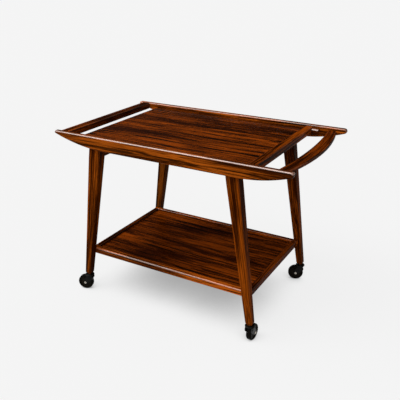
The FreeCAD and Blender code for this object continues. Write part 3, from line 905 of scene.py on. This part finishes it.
@dataclass
class Casters:
    """The four swivel casters, with ribbed discs on the wheels, beads on the tyres and pressed forks.

    Outlines of turned pieces are given as radius and height, with the height along the axle from the wheel's
    middle, or up the stem from the floor. A pressing's steps are given as inset and rise above the cheek.
    """

    corners: Tuple[str, ...] = ("front_left", "front_right", "rear_left", "rear_right")
    disc_profile: Profile = (
        (0.0197, 0.0041),
        (0.0197, 0.0060),
        (0.0193, 0.0066),
        (0.0184, 0.0069),
        (0.0176, 0.0066),
        (0.0169, 0.0059),
        (0.0160, 0.0055),
        (0.0150, 0.0053),
        (0.0138, 0.0052),
        (0.0126, 0.0053),
        (0.0115, 0.0056),
        (0.0106, 0.0061),
        (0.0098, 0.0069),
        (0.0090, 0.0077),
        (0.0082, 0.0080),
        (0.0077, 0.0078),
        (0.0077, 0.0041),
    )
    rib_count: int = 6
    rib_rise: float = 0.0012
    rib_sharpness: int = 5
    rib_radii: Tuple[float, float] = (0.0106, 0.0169)
    bead_profile: Profile = (
        (0.0228, 0.0088),
        (0.02290, 0.00925),
        (0.02315, 0.00945),
        (0.02345, 0.00945),
        (0.02370, 0.00925),
        (0.0238, 0.0088),
    )
    race_profile: Profile = (
        (0.0093, 0.0629),
        (0.0093, 0.0636),
        (0.0097, 0.0641),
        (0.0105, 0.0644),
        (0.0118, 0.0644),
        (0.0127, 0.0640),
        (0.0131, 0.0634),
        (0.0132, 0.0629),
    )
    cheek_face: float = 0.0125
    pressing_root: Tuple[float, float] = (0.0, 0.0482)
    pressing_reach: float = 0.50
    pressing_radii: Tuple[float, float] = (0.0085, 0.0060)
    pressing_steps: Profile = ((0.0, -0.0003), (0.0, 0.0003), (0.0003, 0.0006), (0.0009, 0.0008))
    arc_steps: int = 20
    rubber: BlackFinish = BlackFinish(
        colour=(0.0030, 0.0024, 0.0016),
        dusty=(0.0062, 0.0049, 0.0034),
        rough_low=0.38,
        rough_high=0.60,
        grain_scale=900.0,
        smudge_scale=90.0,
        relief=0.25,
        specular=0.02,
    )
    plastic: BlackFinish = BlackFinish(
        colour=(0.0072, 0.0048, 0.0022),
        dusty=(0.0120, 0.0082, 0.0042),
        rough_low=0.24,
        rough_high=0.40,
        grain_scale=1200.0,
        smudge_scale=70.0,
        relief=0.10,
        specular=0.04,
    )
    paint: BlackFinish = BlackFinish(
        colour=(0.0034, 0.0026, 0.0017),
        dusty=(0.0064, 0.0050, 0.0034),
        rough_low=0.16,
        rough_high=0.30,
        grain_scale=500.0,
        smudge_scale=60.0,
        relief=0.12,
        specular=0.08,
    )

    def dress(self, frame: Frame, shared: Shared) -> None:
        """Dresses each caster's solids and adds the pieces that finish them.

        Args:
            frame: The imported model.
            shared: The shared groups.
        """
        finishes = {
            "tyre": self.rubber.dressing("black_rubber", shared),
            "hub": self.plastic.dressing("black_plastic", shared),
            "fork": self.paint.dressing("black_paint", shared),
            "axle": PlatedSteel().dressing("axle", shared),
            "stem": PlatedSteel().dressing("stem", shared),
            "socket": PlatedSteel().dressing("socket", shared),
        }
        for corner in self.corners:
            for piece, material in finishes.items():
                dress(f"{corner}_caster_{piece}", material, frame)
            swivel, wheel = self._stand(frame, corner)
            self._wheel_rings(corner, wheel, finishes)
            self._race(corner, swivel, finishes["fork"])
            self._pressings(corner, swivel, swivel.inverted() @ wheel, finishes["fork"])

    @staticmethod
    def _stand(frame: Frame, corner: str) -> Tuple[Matrix, Matrix]:
        """Reads where a caster stands.

        Args:
            frame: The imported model.
            corner: The caster's corner.

        Returns:
            The place of its swivel on the floor and the place of its axle's middle, both turned so that X
            runs from the swivel towards the axle.
        """
        places = {joint["name"]: Vector(joint["pos_m"]) for joint in frame["joints"]}
        stem, axle = places[corner + "_swivel"], places[corner + "_roll"]
        turn = Matrix.Rotation(math.atan2(axle.y - stem.y, axle.x - stem.x), 4, "Z")
        return Matrix.Translation((stem.x, stem.y, 0.0)) @ turn, Matrix.Translation(axle) @ turn

    def _rib(self, radius: float, angle: float) -> float:
        """What the disc's ribs raise a point by, highest halfway along each rib.

        Args:
            radius: The point's radius.
            angle: The point's angle round the axle.

        Returns:
            The rise along the axle.
        """
        inner, outer = self.rib_radii
        along = min(max((radius - inner) / (outer - inner), 0.0), 1.0)
        across = max(math.cos(self.rib_count * angle), 0.0) ** self.rib_sharpness
        return self.rib_rise * across * math.sin(math.pi * along)

    def _wheel_rings(self, corner: str, wheel: Matrix, finishes: Dict[str, bpy.types.Material]) -> None:
        """Sets a ribbed disc and a tyre bead on both sides of a wheel.

        Args:
            corner: The caster's corner.
            wheel: The place of its axle's middle.
            finishes: The casters' finishes by piece.
        """
        discs, beads = Shaping(corner + "_wheel_discs"), Shaping(corner + "_tyre_beads")
        for quarter in (-math.pi / 2, math.pi / 2):
            place = wheel @ Matrix.Rotation(quarter, 4, "X")
            discs.turn(self.disc_profile, place, self._rib)
            beads.turn(self.bead_profile, place, level)
        discs.set_on(corner + "_wheel", "black_plastic", finishes["hub"])
        beads.set_on(corner + "_wheel", "black_rubber", finishes["tyre"])

    def _race(self, corner: str, swivel: Matrix, material: bpy.types.Material) -> None:
        """Lays the swivel's cover ring on the crown.

        Args:
            corner: The caster's corner.
            swivel: The place of its swivel.
            material: The fork's finish.
        """
        race = Shaping(corner + "_swivel_race")
        race.turn(self.race_profile, swivel, level)
        race.set_on(corner + "_fork", "black_steel", material)

    def _pressings(self, corner: str, swivel: Matrix, axle: Matrix, material: bpy.types.Material) -> None:
        """Raises the pressing on both cheeks of a fork.

        Args:
            corner: The caster's corner.
            swivel: The place of its swivel.
            axle: The place of its axle, seen from the swivel.
            material: The fork's finish.
        """
        pressings = Shaping(corner + "_fork_pressings")
        for side in (-1.0, 1.0):
            rings = []
            for inset, rise in self.pressing_steps:
                outline = self._pressing_outline(axle.translation, inset)
                rings.append([swivel @ Vector((x, side * (self.cheek_face + rise), z)) for x, z in outline])
            pressings.skin(rings, closed=False)
        pressings.set_on(corner + "_fork", "black_steel", material)

    def _pressing_outline(self, axle: Vector, inset: float) -> Sequence[Tuple[float, float]]:
        """The outline of a pressing: round at both ends, with straight flanks that narrow towards the axle.

        Args:
            axle: The axle's middle, seen from the swivel.
            inset: How far the outline is drawn in.

        Returns:
            Its points as X and height.
        """
        root = Vector(self.pressing_root)
        tip = root.lerp(Vector((axle.x, axle.z)), self.pressing_reach)
        root_radius, tip_radius = (radius - inset for radius in self.pressing_radii)
        run = tip - root
        lean = math.atan2(run.y, run.x)
        spread = math.acos((root_radius - tip_radius) / run.length)
        arcs = (
            (root, root_radius, lean + spread, lean + math.tau - spread),
            (tip, tip_radius, lean - spread, lean + spread),
        )
        points = []
        for centre, radius, start, finish in arcs:
            for step in range(self.arc_steps + 1):
                angle = start + (finish - start) * step / self.arc_steps
                points.append((centre.x + radius * math.cos(angle), centre.y + radius * math.sin(angle)))
        return points


@dataclass
class Studio:
    """A plain pale floor with a soft shade painted under the cart, a bright sky, and the photograph's camera.
    """

    floor_size: float = 120.0
    floor_roughness: float = 0.9
    floor_tone: float = 0.29
    seen_tone: float = 0.83
    backdrop_share: float = 0.90
    backdrop_tone: float = 0.915
    shade_tone: float = 0.23
    shade_reach: float = 0.30
    shade_from: Triple = (0.0, -0.26, 0.97)
    shade_openness: Range = (0.05, 0.78)
    shade_rays: int = 32
    horizon_tone: float = 0.915
    horizon_heights: Range = (0.0, 0.07)
    camera_place: Triple = (0.9266, -1.6385, 1.1456)
    camera_view: Triple = (-0.4565, 0.8007, -0.3878)
    lens_mm: float = 50.67
    sensor_mm: float = 36.0
    key_from: Triple = (-0.70, -0.58, 0.40)
    key_falloff: Range = (-0.35, 0.45)
    key_tones: Range = (0.12, 1.28)
    screen_at: Triple = (-0.46, 0.80, 0.39)
    screen_edge: Range = (0.55, 0.88)
    screen_tone: float = 0.05
    box_from: Triple = (-0.46, -0.42, 0.78)
    box_strength: float = 1.15
    box_angle_degrees: float = 32.0

    def build(self) -> None:
        """Makes the floor, the light and the camera."""
        self._floor()
        self._sky()
        self._soft_box()
        self._camera()

    def _floor(self) -> None:
        """Lays the floor."""
        half = self.floor_size / 2
        mesh = bpy.data.meshes.new("floor")
        corners = [(-half, -half, 0.0), (half, -half, 0.0), (half, half, 0.0), (-half, half, 0.0)]
        mesh.from_pydata(corners, [], [(0, 1, 2, 3)])
        floor = bpy.data.objects.new("floor", mesh)
        bpy.context.collection.objects.link(floor)
        material, graph, shader = new_material("floor")
        shader.inputs["Roughness"].default_value = self.floor_roughness
        shader.inputs["Specular IOR Level"].default_value = 0.0
        self._paler_background(graph, shader)
        mesh.materials.append(material)

    def _paler_background(self, graph: Graph, shader: bpy.types.Node) -> None:
        """Lifts the floor towards a pale backdrop where it is seen, without lighting the cart more.

        The backdrop's glow is darkened where little of the space above the floor is open, which paints the
        shade under the cart. From below the floor is clear, so that the cart's underside can be looked at.

        Args:
            graph: The floor material's graph.
            shader: The floor's own shader, which adds a little of the shadow that the lights cast.
        """
        seen = self._seen(graph, "Camera", "Glossy", "Transmission")
        tone = graph.mix(seen, (self.floor_tone,) * 3, (self.seen_tone,) * 3)
        graph.join(tone, shader.inputs["Base Color"])
        shaded_backdrop = graph.add("Emission")
        # Painted shadow: the glow's strength follows how open the space above is, not the lamps.
        overhead = graph.add("AmbientOcclusion", samples=self.shade_rays)
        overhead.inputs["Distance"].default_value = self.shade_reach
        graph.join(graph.combine(*self.shade_from), overhead.inputs["Normal"])
        tones = (self.shade_tone, self.backdrop_tone)
        shade = graph.remap(overhead.outputs["AO"], *self.shade_openness, *tones)
        graph.join(shade, shaded_backdrop.inputs["Strength"])
        mixed = graph.add("MixShader")
        graph.join(graph.maths("MULTIPLY", seen, self.backdrop_share), mixed.inputs[0])
        graph.join(shader.outputs[0], mixed.inputs[1])
        graph.join(shaded_backdrop.outputs[0], mixed.inputs[2])
        clear_below = graph.add("MixShader")
        graph.join(graph.add("NewGeometry").outputs["Backfacing"], clear_below.inputs[0])
        graph.join(mixed.outputs[0], clear_below.inputs[1])
        graph.join(graph.add("BsdfTransparent").outputs[0], clear_below.inputs[2])
        for node in graph.tree.nodes:
            if node.bl_idname == "ShaderNodeOutputMaterial":
                graph.join(clear_below.outputs[0], node.inputs["Surface"])

    @staticmethod
    def _seen(graph: Graph, *kinds: str) -> bpy.types.NodeSocket:
        """Tells rays that show the backdrop from those that gather light.

        Args:
            graph: The graph of the floor's material or of the sky.
            kinds: The kinds of rays that show the backdrop.

        Returns:
            One for those rays, and none for the others.
        """
        rays = graph.add("LightPath").outputs
        seen = rays[f"Is {kinds[0]} Ray"]
        for kind in kinds[1:]:
            seen = graph.maths("MAXIMUM", seen, rays[f"Is {kind} Ray"])
        return seen

    def _sky(self) -> None:
        """Lights the studio all round and most from one side, with a dark screen behind the cart.

        The pale horizon is seen straight at any height, and in reflections up to a low height.
        """
        world = bpy.data.worlds.new("studio")
        world.use_nodes = True
        bpy.context.scene.world = world
        graph = Graph(world.node_tree)
        direction = graph.add("TexCoord").outputs["Generated"]
        towards = graph.vector("DOT_PRODUCT", direction, self.key_from)
        ring = graph.remap(towards, *self.key_falloff, *self.key_tones)
        behind = graph.vector("DOT_PRODUCT", direction, self.screen_at)
        screened = graph.remap(behind, *self.screen_edge, 1.0, self.screen_tone)
        background = graph.add("Background")
        lit = graph.maths("MULTIPLY", ring, screened)
        height = graph.add("SeparateXYZ")
        graph.join(direction, height.inputs[0])
        low = graph.remap(height.outputs["Z"], *self.horizon_heights, 1.0, 0.0)
        reflected = graph.maths("MULTIPLY", self._seen(graph, "Glossy"), low)
        seen = graph.maths("MAXIMUM", self._seen(graph, "Camera", "Transmission"), reflected)
        graph.join(graph.remap(seen, 0.0, 1.0, lit, self.horizon_tone), background.inputs["Strength"])
        graph.join(background.outputs[0], graph.add("OutputWorld").inputs["Surface"])
        background.inputs["Color"].default_value = opaque((1.0, 1.0, 1.0))

    def _soft_box(self) -> None:
        """Hangs a soft light overhead to the front left, which draws the highlights along the edges."""
        lamp = bpy.data.lights.new("soft_box", "SUN")
        lamp.energy = self.box_strength
        lamp.angle = math.radians(self.box_angle_degrees)
        holder = bpy.data.objects.new("soft_box", lamp)
        holder.rotation_mode = "QUATERNION"
        holder.rotation_quaternion = Vector(self.box_from).to_track_quat("Z", "Y")
        bpy.context.collection.objects.link(holder)

    def _camera(self) -> None:
        """Sets the camera where the photograph was taken from."""
        lens = bpy.data.cameras.new("camera")
        lens.lens = self.lens_mm
        lens.sensor_width = self.sensor_mm
        camera = bpy.data.objects.new("camera", lens)
        camera.location = self.camera_place
        camera.rotation_mode = "QUATERNION"
        camera.rotation_quaternion = Vector(self.camera_view).to_track_quat("-Z", "Y")
        bpy.context.collection.objects.link(camera)
        bpy.context.scene.camera = camera


def main() -> None:
    """Dresses the cart and sets the studio."""
    logging.basicConfig(level=logging.INFO)
    bpy.context.scene.view_settings.view_transform = "Standard"
    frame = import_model()
    shared = Shared(Figure(), EasedEdges(), Handling())
    for assembly in (Tray(), UnderFrame(), Shelf(), Casters()):
        assembly.dress(frame, shared)
    Studio().build()


if __name__ == "__main__":
    main()
